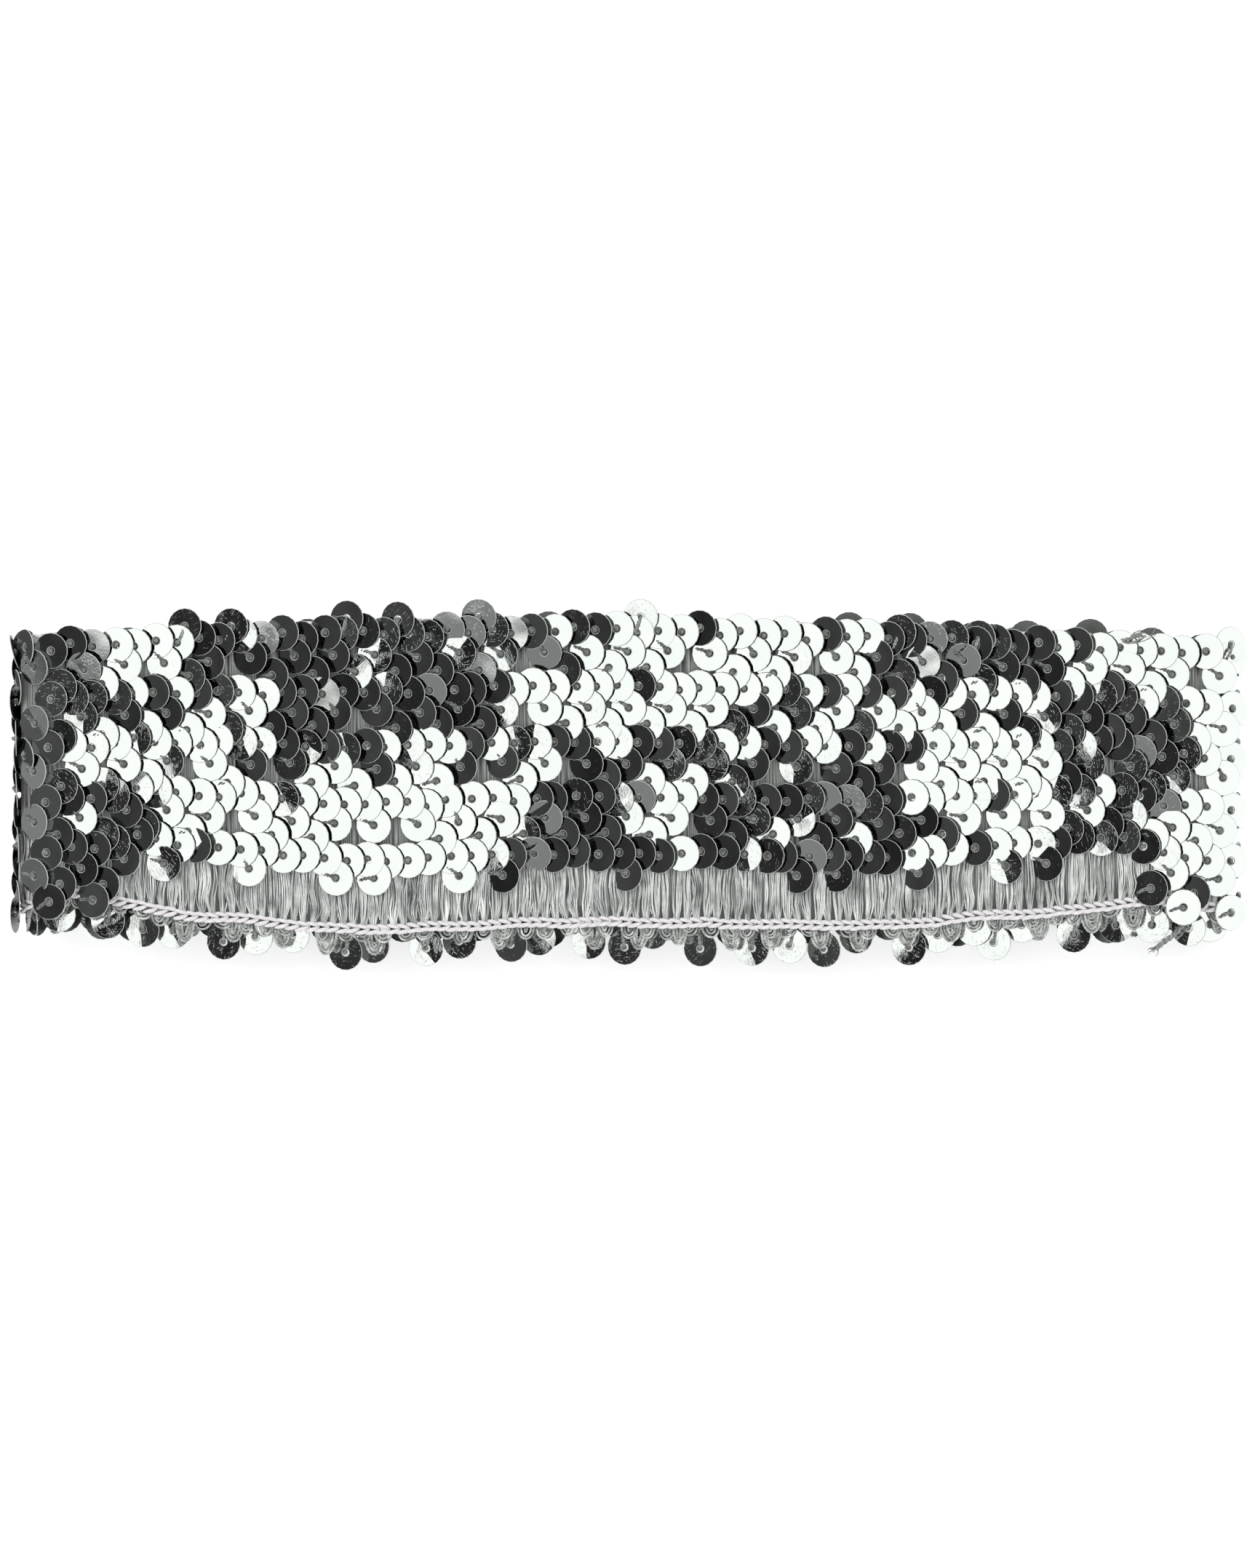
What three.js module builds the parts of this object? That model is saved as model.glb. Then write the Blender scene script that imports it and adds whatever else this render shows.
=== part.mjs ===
import * as THREE from "three";
import { LoftGeometry } from "three/addons/geometries/LoftGeometry.js";
import { mergeVertices } from "three/addons/utils/BufferGeometryUtils.js";

// A stretch sequin headband: one closed loop of knitted trim that lies on a table, doubled over. Millimetres, +Z up.
// X runs from fold to fold and Y across the trim. A place on the loop is given by its share of the way round:
// 0 at the right fold's tip, 0.25 in the middle of the lower layer, 0.5 at the left fold's tip and 0.75 in the
// middle of the upper layer.

// Driving dimensions.
const lyingLength = 174; // the knit, from fold to fold
const trimWidth = 44; // the knit with its two edge chains
const edgeWander = 4; // how far an edge can stray from half of that width
const knitWall = 1.3;
const foldGap = 7; // clear height inside a fold
const middleSag = 1.8; // how far the upper layer sinks between the folds
const fitGap = 0.3; // between pieces that are sewn to each other
const chainWidth = 1.4;
const chainProud = 0.1; // how far a chain stands past each face of the knit
const rowCount = 5;
const sequinDiameter = 5;
const sequinPitch = 3; // from sequin to sequin along a row
const topInset = 2.1; // from the upper edge down to the first row's holes
const topReach = 1.7; // how far the first row stands past the upper edge
const bareMargin = 4.8; // knit left bare between the last row and the lower edge
const shingleLow = 0.6; // a row's thickness where a sequin dips under its neighbour
const shingleHigh = 1.2; // and where it lies on top
const scallopDepth = 1;
const hangLength = 4.2; // how far the edge sequins hang past the lower chain
const hangThickness = 0.8;
const seamShare = 0.968; // where the loop's two ends are joined
const seamWidth = 3;
const seamThickness = 1;
const seamInset = 2.5; // from an edge of the trim to the end of the seam

// How the two edges stray from half the width and how far the edge sequins hang, as shares of edgeWander and
// of hangLength. The rows from 0.5 on are for the layer that shows from above.
const edgeTable = [
  { share: 0.0, upper: -0.85, lower: -0.4, hang: 0.45 },
  { share: 0.12, upper: -0.45, lower: -0.15, hang: 0.8 },
  { share: 0.25, upper: -0.3, lower: -0.05, hang: 0.9 },
  { share: 0.38, upper: -0.5, lower: -0.2, hang: 0.75 },
  { share: 0.5, upper: -0.65, lower: -0.4, hang: 0.4 },
  { share: 0.525, upper: -0.55, lower: -0.95, hang: 0.5 },
  { share: 0.58, upper: -0.35, lower: -0.1, hang: 0.7 },
  { share: 0.64, upper: -0.1, lower: 0.35, hang: 0.95 },
  { share: 0.73, upper: 0.0, lower: 0.1, hang: 1.0 },
  { share: 0.85, upper: -0.2, lower: 0.2, hang: 1.0 },
  { share: 0.91, upper: -0.5, lower: -0.2, hang: 0.75 },
  { share: 0.965, upper: -0.75, lower: -0.65, hang: 0.5 },
];

// How deep the upper layer lies along its way from the left fold to the right one, as a share of middleSag.
const sagTable = [
  { along: 0.0, sag: 0.0 },
  { along: 0.03, sag: 0.0 },
  { along: 0.13, sag: 0.4 },
  { along: 0.24, sag: 0.95 },
  { along: 0.35, sag: 0.7 },
  { along: 0.47, sag: 1.0 },
  { along: 0.58, sag: 0.75 },
  { along: 0.69, sag: 1.0 },
  { along: 0.8, sag: 0.7 },
  { along: 0.9, sag: 0.3 },
  { along: 0.97, sag: 0.0 },
  { along: 1.0, sag: 0.0 },
];

// One pair of sequins along a row: the thickness goes from shingleLow to shingleHigh as rise goes from 0 to 1,
// and dip is the share of the scallop's depth.
const pairTable = [
  { phase: 0.0, rise: 0, dip: 0 },
  { phase: 0.5, rise: 1, dip: 1 },
  { phase: 0.88, rise: 1, dip: 0.35 },
];
const shortStep = 0.2; // a step along a pair that needs no extra section in a fold
const rounding = 1e-6; // a phase this close to a row of the table is on it

const foldRadius = (foldGap + knitWall) / 2;
const straightHalf = lyingLength / 2 - foldRadius - knitWall / 2;
const rowFloor = knitWall / 2 + chainProud + fitGap;
const lowerLayerZ = rowFloor + shingleHigh;
const upperLayerZ = lowerLayerZ + 2 * foldRadius;

const loop = makeLoop();
const pairCount = Math.round(loop.getLength() / (2 * sequinPitch));
const fineShares = stationShares(true);
const coarseShares = stationShares(false);

const materials = {
  floss: new THREE.MeshStandardMaterial({ color: 0x9ea39e, roughness: 0.75, metalness: 0 }),
  chain: new THREE.MeshStandardMaterial({ color: 0xe1dcde, roughness: 0.7, metalness: 0 }),
  film: new THREE.MeshStandardMaterial({ color: 0xdfe8e2, roughness: 0.12, metalness: 1 }),
};

// The middle of the knit's wall, drawn with the path's y as the height. It starts at the right fold's tip and
// runs under, back to the left and over the top.
function makeLoop() {
  const path = new THREE.Path();
  path.moveTo(straightHalf + foldRadius, lowerLayerZ + foldRadius);
  path.absarc(straightHalf, lowerLayerZ + foldRadius, foldRadius, 0, -Math.PI / 2, true);
  path.lineTo(-straightHalf, lowerLayerZ);
  path.absarc(-straightHalf, lowerLayerZ + foldRadius, foldRadius, -Math.PI / 2, Math.PI / 2, true);
  const upper = sagTable.map(
    ({ along, sag }) => new THREE.Vector2((2 * along - 1) * straightHalf, upperLayerZ - sag * middleSag),
  );
  path.splineThru(upper.slice(1));
  path.absarc(straightHalf, lowerLayerZ + foldRadius, foldRadius, Math.PI / 2, 0, true);
  return path;
}

// The place on the loop with its directions along the loop and out of it.
function frameAt(share) {
  const point = loop.getPoint(share);
  const tangent = loop.getTangent(share);
  return {
    point: new THREE.Vector3(point.x, 0, point.y),
    along: new THREE.Vector3(tangent.x, 0, tangent.y),
    out: new THREE.Vector3(-tangent.y, 0, tangent.x),
  };
}

function isInFold(share) {
  return Math.abs(loop.getPoint(share % 1).x) > straightHalf;
}

// The places where sections stand. Every piece has the same ones in the folds, so that their facets stay
// parallel there; on the flat stretches a coarse piece has one for each pair of sequins.
function stationShares(isFine) {
  const shares = [];
  for (let pair = 0; pair < pairCount; pair += 1) {
    pairTable.forEach(({ phase }, step) => {
      const nextPhase = step + 1 < pairTable.length ? pairTable[step + 1].phase : 1;
      const here = (pair + phase) / pairCount;
      const next = (pair + nextPhase) / pairCount;
      const bends = isInFold(here) || isInFold(next);
      if (isFine || bends || step === 0) shares.push(here);
      if (bends && nextPhase - phase > shortStep) shares.push((here + next) / 2);
    });
  }
  return shares;
}

// A column of the edge table at a place on the loop, eased between its rows.
function readEdges(column, share) {
  const after = edgeTable.findIndex((row) => row.share > share);
  const next = after < 0 ? { ...edgeTable[0], share: 1 } : edgeTable[after];
  const last = after < 0 ? edgeTable[edgeTable.length - 1] : edgeTable[after - 1];
  const ease = THREE.MathUtils.smoothstep(share, last.share, next.share);
  return THREE.MathUtils.lerp(last[column], next[column], ease);
}

// A column of the pair table at a place on the loop, with straight lines between its rows.
function readPair(column, share) {
  const phase = (share * pairCount) % 1;
  const step = pairTable.findLastIndex((row) => row.phase <= phase + rounding);
  const last = pairTable[step];
  const next = step + 1 < pairTable.length ? pairTable[step + 1] : { ...pairTable[0], phase: 1 };
  return THREE.MathUtils.mapLinear(phase, last.phase, next.phase, last[column], next[column]);
}

function upperEdge(share) {
  return trimWidth / 2 + edgeWander * readEdges("upper", share);
}

function lowerEdge(share) {
  return -trimWidth / 2 - edgeWander * readEdges("lower", share);
}

// The height across the trim of a row's line of holes, counted from 0 at the upper edge.
function rowLine(row, share) {
  const first = upperEdge(share) - topInset;
  const last = lowerEdge(share) + bareMargin + sequinDiameter;
  return first + (row * (last - first)) / (rowCount - 1);
}

// A closed ring with a section at each share. sectionAt gives the section's corners as pairs: the place across
// the trim and the height out of the middle of the knit, counterclockwise.
function ringGeometry(shares, sectionAt) {
  const sections = shares.map((share) => {
    const { point, out } = frameAt(share);
    return sectionAt(share).map(([across, height]) =>
      new THREE.Vector3(0, across, 0).add(point).addScaledVector(out, height),
    );
  });
  const loft = new LoftGeometry([...sections, sections[0]]);
  const ring = new THREE.BufferGeometry();
  ring.setAttribute("position", loft.getAttribute("position"));
  ring.setIndex(loft.getIndex());
  return mergeVertices(ring);
}

function boxSection(low, high, inner, outer) {
  return [
    [low, inner],
    [high, inner],
    [high, outer],
    [low, outer],
  ];
}

// A rounded strand's section, six-sided.
function strandSection(low, high, halfHeight) {
  const middle = (low + high) / 2;
  const flat = (high - low) / 4;
  return [
    [middle - flat, -halfHeight],
    [middle + flat, -halfHeight],
    [high, 0],
    [middle + flat, halfHeight],
    [middle - flat, halfHeight],
    [low, 0],
  ];
}

function addPiece(name, geometry, material) {
  const mesh = new THREE.Mesh(geometry, material.clone());
  mesh.name = name;
  headband.add(mesh);
  return mesh;
}

function addKnitBand() {
  const edgeRoom = chainWidth + fitGap;
  const geometry = ringGeometry(coarseShares, (share) =>
    boxSection(lowerEdge(share) + edgeRoom, upperEdge(share) - edgeRoom, -knitWall / 2, knitWall / 2),
  );
  addPiece("knit_band", geometry, materials.floss);
}

function addEdgeChains() {
  const halfHeight = knitWall / 2 + chainProud;
  const upper = ringGeometry(coarseShares, (share) =>
    strandSection(upperEdge(share) - chainWidth, upperEdge(share), halfHeight),
  );
  const lower = ringGeometry(coarseShares, (share) =>
    strandSection(lowerEdge(share), lowerEdge(share) + chainWidth, halfHeight),
  );
  addPiece("upper_edge_chain", upper, materials.chain);
  addPiece("lower_edge_chain", lower, materials.chain);
}

// The border above a row follows the scallops of the row over it, so the two never meet.
function rowTop(row, share) {
  const scallop = scallopDepth * readPair("dip", share);
  if (row === 0) return upperEdge(share) + topReach - scallopDepth + scallop;
  return rowLine(row, share) + sequinDiameter / 2 - scallop;
}

function rowBottom(row, share) {
  if (row < rowCount - 1) return rowTop(row + 1, share) + fitGap;
  const shortened = (sequinDiameter / 2) * (1 - readPair("dip", share));
  return lowerEdge(share) + bareMargin + shortened;
}

function addSequinRows() {
  for (let row = 0; row < rowCount; row += 1) {
    const geometry = ringGeometry(fineShares, (share) => {
      const thickness = THREE.MathUtils.lerp(shingleLow, shingleHigh, readPair("rise", share));
      return boxSection(rowBottom(row, share), rowTop(row, share), rowFloor, rowFloor + thickness);
    });
    addPiece(`sequin_row_${row + 1}`, geometry, materials.film);
  }
}

function addEdgeSequins() {
  const geometry = ringGeometry(fineShares, (share) => {
    const top = lowerEdge(share) - fitGap;
    const reach = hangLength * readEdges("hang", share);
    const scallop = scallopDepth * (1 - readPair("dip", share));
    return boxSection(top - reach + scallop, top, 0, hangThickness);
  });
  addPiece("edge_sequins", geometry, materials.film);
}

// The joined ends make a flat rounded ridge across the inner side of the upper layer.
function addJoinSeam() {
  const { point, along, out } = frameAt(seamShare);
  const round = seamThickness / 2;
  const outline = new THREE.Shape();
  outline.absarc(seamWidth / 2 - round, 0, round, -Math.PI / 2, Math.PI / 2, false);
  outline.absarc(round - seamWidth / 2, 0, round, Math.PI / 2, (3 * Math.PI) / 2, false);
  const start = upperEdge(seamShare) - seamInset;
  const end = lowerEdge(seamShare) + seamInset;
  const geometry = new THREE.ExtrudeGeometry(outline, {
    depth: start - end,
    bevelEnabled: false,
    curveSegments: 4,
  });
  const seam = addPiece("join_seam", geometry, materials.floss);
  const backwards = new THREE.Vector3(0, -1, 0);
  seam.quaternion.setFromRotationMatrix(new THREE.Matrix4().makeBasis(along, out, backwards));
  seam.position.copy(point).addScaledVector(out, -(rowFloor + round));
  seam.position.y = start;
}

const headband = new THREE.Group();
addKnitBand();
addEdgeChains();
addSequinRows();
addEdgeSequins();
addJoinSeam();

// The origin is under the middle of the whole loop, on the table.
headband.updateMatrixWorld(true);
const box = new THREE.Box3().setFromObject(headband, true);
const middle = box.getCenter(new THREE.Vector3());
headband.position.set(-middle.x, -middle.y, -box.min.z);

export default headband;
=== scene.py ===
import math

import bpy
import numpy as np
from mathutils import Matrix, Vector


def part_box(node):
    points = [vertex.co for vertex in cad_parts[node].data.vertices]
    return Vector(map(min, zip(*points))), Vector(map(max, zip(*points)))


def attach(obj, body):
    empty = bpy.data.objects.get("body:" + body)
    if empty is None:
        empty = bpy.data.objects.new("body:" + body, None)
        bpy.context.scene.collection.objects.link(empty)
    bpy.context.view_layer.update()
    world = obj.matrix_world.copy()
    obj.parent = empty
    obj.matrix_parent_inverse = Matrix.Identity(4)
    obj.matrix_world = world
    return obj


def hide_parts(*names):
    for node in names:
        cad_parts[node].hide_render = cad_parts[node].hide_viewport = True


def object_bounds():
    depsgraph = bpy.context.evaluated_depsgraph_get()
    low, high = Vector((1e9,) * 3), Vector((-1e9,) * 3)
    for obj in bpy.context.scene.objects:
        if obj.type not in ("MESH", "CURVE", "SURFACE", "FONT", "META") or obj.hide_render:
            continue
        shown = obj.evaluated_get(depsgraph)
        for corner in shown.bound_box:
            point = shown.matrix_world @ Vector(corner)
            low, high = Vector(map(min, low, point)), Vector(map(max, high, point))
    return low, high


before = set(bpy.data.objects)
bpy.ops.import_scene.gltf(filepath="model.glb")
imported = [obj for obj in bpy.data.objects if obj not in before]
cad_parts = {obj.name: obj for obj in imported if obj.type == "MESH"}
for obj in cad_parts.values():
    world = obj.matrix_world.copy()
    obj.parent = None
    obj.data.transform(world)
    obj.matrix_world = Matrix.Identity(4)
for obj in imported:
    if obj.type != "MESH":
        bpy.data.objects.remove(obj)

# A stretch sequin headband lying doubled over, seen from straight above. Lengths are millimetres until a mesh
# is made. A place on the loop is its share of the way round: 0 at the right fold's tip, 0.25 in the middle of
# the lower layer, 0.5 at the left fold's tip and 0.75 in the middle of the upper layer. A place on the trim
# is then how far across it and how far out of the knit's middle.
cad_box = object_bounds()
MM = 0.001

# Sizes of the solids, as they are built.
LYING_LENGTH = 174
TRIM_WIDTH = 44
EDGE_WANDER = 4
KNIT_WALL = 1.3
FOLD_GAP = 7
MIDDLE_SAG = 1.8
FIT_GAP = 0.3
CHAIN_WIDTH = 1.4
CHAIN_PROUD = 0.1
ROW_COUNT = 5
SEQUIN_DIAMETER = 5
SEQUIN_PITCH = 3
TOP_INSET = 2.1
BARE_MARGIN = 4.8
SHINGLE_HIGH = 1.2

# Sizes that only the looks have.
DISC_DIAMETER = 5.2
SEQUIN_THICKNESS = 0.12
SEQUIN_HOLE = 1.1
SEQUIN_RIM = 0.07
SEQUIN_SIDES = 18
STITCH_PITCH = 1.45
FLOSS_FLOOR = 0.3  # how far the gathered floss stands past the knit's face
SEQUIN_FLOOR = 1.12  # from the knit's face to a sequin's middle, upper layer
TABLE_SEQUIN_FLOOR = 0.72  # the same under the band, where the sequins lie on the table
FIRST_STEP = 2.9  # from a row's line down to its first dropped sequin
SECOND_STEP = 5.2  # to its second
THIRD_STEP = 7.4  # and, round the folds, to the lowest row's third
ROW_RISE = 0.9  # how much higher the lowest row's line lies than its solid's
END_DROP = 2.5  # and how much lower at the folds, where the sequins hide the bare margin
COVER_REACH = 19  # how far from a fold's tip the sequins begin to hide the margin
COVER_FADE = 7
KNOT_RADIUS = 0.44
TAIL_LENGTH = 2.1
TAIL_RADIUS = 0.27
FIBRE_RADIUS = 0.088

# Places on the loop, and how far the upper and the lower edge stray there from half the width, as shares of
# EDGE_WANDER.
EDGES = [
    (0.0, -0.85, -0.4),
    (0.12, -0.45, -0.15),
    (0.25, -0.3, -0.05),
    (0.38, -0.5, -0.2),
    (0.5, -0.65, -0.4),
    (0.525, -0.55, -0.95),
    (0.58, -0.35, -0.1),
    (0.64, -0.1, 0.35),
    (0.73, 0.0, 0.1),
    (0.85, -0.2, 0.2),
    (0.91, -0.5, -0.2),
    (0.965, -0.75, -0.65),
    (1.0, -0.85, -0.4),
]
UPPER, LOWER = 1, 2  # the columns of EDGES

# Places along the upper layer, from the left fold to the right one, and how deep it sags there, as a share of
# MIDDLE_SAG.
SAGS = [
    (0.0, 0.0),
    (0.03, 0.0),
    (0.13, 0.4),
    (0.24, 0.95),
    (0.35, 0.7),
    (0.47, 1.0),
    (0.58, 0.75),
    (0.69, 1.0),
    (0.8, 0.7),
    (0.9, 0.3),
    (0.97, 0.0),
    (1.0, 0.0),
]

# On the left fold's upper turn few sequins are left in the rows' lines, and the floss shows.
BALD_SHARE = 0.51
BALD_REACH = 0.004
BALD_KEPT = 0.2

# How many of the dropped sequins are there: the lowest row's first ones, and the other rows' second ones.
FIRST_KEPT = 0.62
SECOND_KEPT = 0.84
TOP_ZIGZAG = 0.55  # how much every second sequin of the top line is raised
LINE_JITTER = 0.08  # in sequins' pitches
DROPPED_JITTER = 0.03  # in pairs' pitches
ACROSS_JITTER = 0.2

# How the sequins of each row show from above, in runs from left to right: how far right of the band's middle
# a run ends, and its shares of white, grey and worn sequins. The rest are dark.
ROW_RUNS = [
    [
        (-80, 0.0, 0.2, 0.5),
        (-76, 0.3, 0.5, 0.2),
        (-64, 1.0, 0.0, 0.1),
        (-26, 0.04, 0.04, 0.2),
        (-4, 0.4, 0.6, 0.1),
        (35, 0.97, 0.0, 0.1),
        (60, 0.1, 0.1, 0.35),
        (70, 0.6, 0.3, 0.2),
        (200, 1.0, 0.0, 0.0),
    ],
    [
        (-81, 0.0, 0.1, 0.7),
        (-66, 0.45, 0.1, 0.7),
        (-52, 0.5, 0.1, 0.4),
        (-17, 0.03, 0.06, 0.2),
        (14, 0.97, 0.0, 0.15),
        (40, 0.45, 0.0, 0.4),
        (59, 0.85, 0.0, 0.2),
        (80, 0.2, 0.15, 0.5),
        (200, 1.0, 0.0, 0.0),
    ],
    [
        (-80, 0.0, 0.1, 0.3),
        (-56, 0.85, 0.1, 0.45),
        (-26, 0.7, 0.0, 0.3),
        (30, 0.5, 0.05, 0.3),
        (42, 0.15, 0.05, 0.4),
        (61, 0.9, 0.0, 0.2),
        (80, 0.1, 0.1, 0.5),
        (200, 1.0, 0.0, 0.0),
    ],
    [
        (-80, 0.0, 0.1, 0.2),
        (-59, 0.68, 0.1, 0.45),
        (-16, 1.0, 0.0, 0.05),
        (-2, 0.05, 0.1, 0.2),
        (8, 0.8, 0.05, 0.5),
        (40, 0.15, 0.1, 0.35),
        (61, 0.85, 0.0, 0.2),
        (78, 0.15, 0.1, 0.5),
        (200, 1.0, 0.0, 0.0),
    ],
    [
        (-68, 0.0, 0.12, 0.15),
        (-60, 0.6, 0.0, 0.2),
        (-20, 1.0, 0.0, 0.05),
        (6, 0.0, 0.25, 0.15),
        (9, 1.0, 0.0, 0.0),
        (40, 0.0, 0.25, 0.2),
        (60, 0.9, 0.1, 0.3),
        (76, 0.3, 0.2, 0.4),
        (200, 0.9, 0.0, 0.1),
    ],
]

# A sequin's lean in degrees: along the loop, with its far side raised, and across it, with its upper side
# raised. A creased sequin is folded by an angle along a line, at a distance in millimetres from its middle.
WHITE_LEAN = 14.0
DARK_LEAN = 20.0
CREASED_LEAN = 17.3
CREASE_ANGLE = 6.5
CREASE_PLACE = 0.35
TABLE_LEAN = 8.5
SIDE_LEAN = 3.0
GREY_SIDE_LEAN = 13.0
LEAN_JITTER = 0.9
SIDE_LEAN_JITTER = 1.6
VIEW_LEAN = 2.0  # how much more a sequin leans at the band's right end, and less at its left end
SLOPE_LIMIT = 6  # up to where the upper layer's slope is taken out of a lean

# The loose sequins of the upper layer: how far right of the band's middle each hangs, how far past the row
# or chain that it hangs from, and how it shows from above.
LOWER_HANGERS = [
    (-86, 1.7, "dark"),
    (-81.7, 2.8, "creased"),
    (-74.5, 3.4, "creased"),
    (-69.5, 3.4, "creased"),
    (-65.1, 2.6, "creased"),
    (-57.9, 3.6, "dark"),
    (-53.3, 2.5, "white"),
    (-48.1, 1.6, "white"),
    (-40.5, 3.4, "dark"),
    (-36.6, 2.4, "dark"),
    (-28.9, 3.0, "creased"),
    (-24.1, 2.2, "dark"),
    (-16.7, 3.0, "dark"),
    (-12.7, 2.2, "creased"),
    (-5.5, 2.8, "creased"),
    (-0.4, 3.6, "dark"),
    (3.6, 1.3, "dark"),
    (10.5, 3.7, "dark"),
    (18.0, 3.5, "creased"),
    (23.4, 3.1, "white"),
    (28.3, 3.6, "dark"),
    (32.9, 1.6, "dark"),
    (40.5, 3.5, "creased"),
    (44.6, 2.1, "white"),
    (49.8, 1.7, "white"),
    (52.6, 4.0, "white"),
    (56.6, 1.6, "white"),
    (64.1, 3.6, "creased"),
    (70.1, 3.0, "creased"),
    (75.3, 3.4, "white"),
    (80.6, 3.6, "creased"),
    (84.3, 2.6, "dark"),
]
UPPER_HANGERS = [
    (-63.5, 2.3, "dark"),
    (-56.9, 2.2, "dark"),
    (-40.2, 2.4, "dark"),
    (-32.8, 2.2, "dark"),
    (-21.3, 2.4, "grey"),
    (2.0, 2.3, "white"),
    (39.1, 0.9, "dark"),
    (50.5, 0.9, "dark"),
    (85.3, 1.6, "white"),
]

# The camera, straight above, with the photograph's frame and the pixel where the band's middle lies in it.
FRAME_WIDTH = 1725
FRAME_HEIGHT = 2156
MIDDLE_PIXEL = (862, 1060)
PIXELS_PER_MM = 9.6
LENS = 200
SENSOR = 36


def soft_step(part):
    """A part from 0 to 1, eased at both ends."""
    return part * part * (3 - 2 * part)


def edge_wander(column, shares):
    """How far an edge strays at some places of the loop, eased between the rows of its table."""
    shares = np.asarray(shares) % 1
    keys, values = np.array(EDGES)[:, (0, column)].T
    step = np.clip(np.searchsorted(keys, shares, side="right") - 1, 0, len(keys) - 2)
    part = soft_step((shares - keys[step]) / (keys[step + 1] - keys[step]))
    return EDGE_WANDER * (values[step] + (values[step + 1] - values[step]) * part)


FOLD_STEPS = 60  # in a quarter turn


class Loop:
    """The middle of the knit's wall, as a closed line that runs under to the left fold and back over."""

    def __init__(self):
        radius = (FOLD_GAP + KNIT_WALL) / 2
        half = LYING_LENGTH / 2 - radius - KNIT_WALL / 2
        low = KNIT_WALL / 2 + CHAIN_PROUD + FIT_GAP + SHINGLE_HIGH
        centre = low + radius
        top = low + 2 * radius
        quarter = math.pi / 2

        def fold(middle, start, end, steps):
            turn = np.linspace(start, end, steps)
            return np.column_stack([middle + radius * np.cos(turn), centre - radius * np.sin(turn)])

        over = np.array([[(2 * along - 1) * half, top - sag * MIDDLE_SAG] for along, sag in SAGS])
        line = np.vstack([
            fold(half, 0, quarter, FOLD_STEPS),
            fold(-half, quarter, 3 * quarter, 2 * FOLD_STEPS)[1:],
            self.through(over)[1:-1],
            fold(half, -quarter, 0, FOLD_STEPS),
        ])
        steps = np.linalg.norm(np.diff(line, axis=0), axis=1)
        self.length = steps.sum()
        self.shares = np.concatenate([[0], np.cumsum(steps)]) / self.length
        self.line = line
        knit_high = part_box("knit_band")[1] / MM
        highest_edge = TRIM_WIDTH / 2 - CHAIN_WIDTH - FIT_GAP
        self.shift = np.array([knit_high.x - LYING_LENGTH / 2, knit_high.y - highest_edge, 0])

    @staticmethod
    def through(points, steps=24):
        """A smooth line through the points."""
        padded = np.vstack([points[:1], points, points[-1:]])
        line = []
        for before, start, end, after in zip(padded, padded[1:], padded[2:], padded[3:]):
            for t in np.arange(steps) / steps:
                entry = (end - before) / 2
                leaving = (after - start) / 2
                line.append(
                    (2 * start - 2 * end + entry + leaving) * t**3
                    + (3 * end - 3 * start - 2 * entry - leaving) * t**2
                    + entry * t
                    + start
                )
        return np.vstack([line, points[-1:]])

    def flat_point(self, shares):
        shares = np.asarray(shares) % 1
        return np.column_stack([np.interp(shares, self.shares, self.line[:, k]) for k in (0, 1)])

    def frames(self, shares):
        """The directions along the loop, across it and out of it, as a matrix's columns for each place."""
        step = 0.0004
        along = self.flat_point(np.asarray(shares) + step) - self.flat_point(np.asarray(shares) - step)
        along /= np.linalg.norm(along, axis=1)[:, None]
        frames = np.zeros((len(along), 3, 3))
        frames[:, 0, 0], frames[:, 2, 0] = along[:, 0], along[:, 1]
        frames[:, 1, 1] = 1
        frames[:, 0, 2], frames[:, 2, 2] = -along[:, 1], along[:, 0]
        return frames

    def places(self, shares, across, out):
        """Points in millimetres in the frame of the solids."""
        flat = self.flat_point(shares)
        frames = self.frames(shares)
        points = np.column_stack([flat[:, 0], across, flat[:, 1]])
        return points + frames[:, :, 2] * np.asarray(out)[:, None] + self.shift


loop = Loop()
PAIR_COUNT = round(loop.length / (2 * SEQUIN_PITCH))
STITCH_COUNT = round(loop.length / STITCH_PITCH)


def upper_edge(shares):
    return TRIM_WIDTH / 2 + edge_wander(UPPER, shares)


def lower_edge(shares):
    return -TRIM_WIDTH / 2 - edge_wander(LOWER, shares)


def end_cover(shares):
    """1 round the folds, where the sequins hide the bare margin, and 0 between them."""
    shares = np.asarray(shares) % 1
    to_fold = np.minimum(np.abs(shares - 0.5), np.minimum(shares, 1 - shares)) * loop.length
    return soft_step(np.clip((COVER_REACH - to_fold) / COVER_FADE, 0, 1))


def row_line(row, shares):
    first = upper_edge(shares) - TOP_INSET
    last = lower_edge(shares) + BARE_MARGIN + SEQUIN_DIAMETER
    last = last + ROW_RISE - (ROW_RISE + END_DROP) * end_cover(shares)
    return first + row * (last - first) / (ROW_COUNT - 1)


def share_above(distance):
    """The place on the upper layer that shows at a distance right of the band's middle."""
    upper = loop.shares > 0.5
    return np.interp(distance, loop.line[upper, 0], loop.shares[upper])


def is_on_table(shares):
    return (np.asarray(shares) % 1) < 0.5


# Shading.


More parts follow.
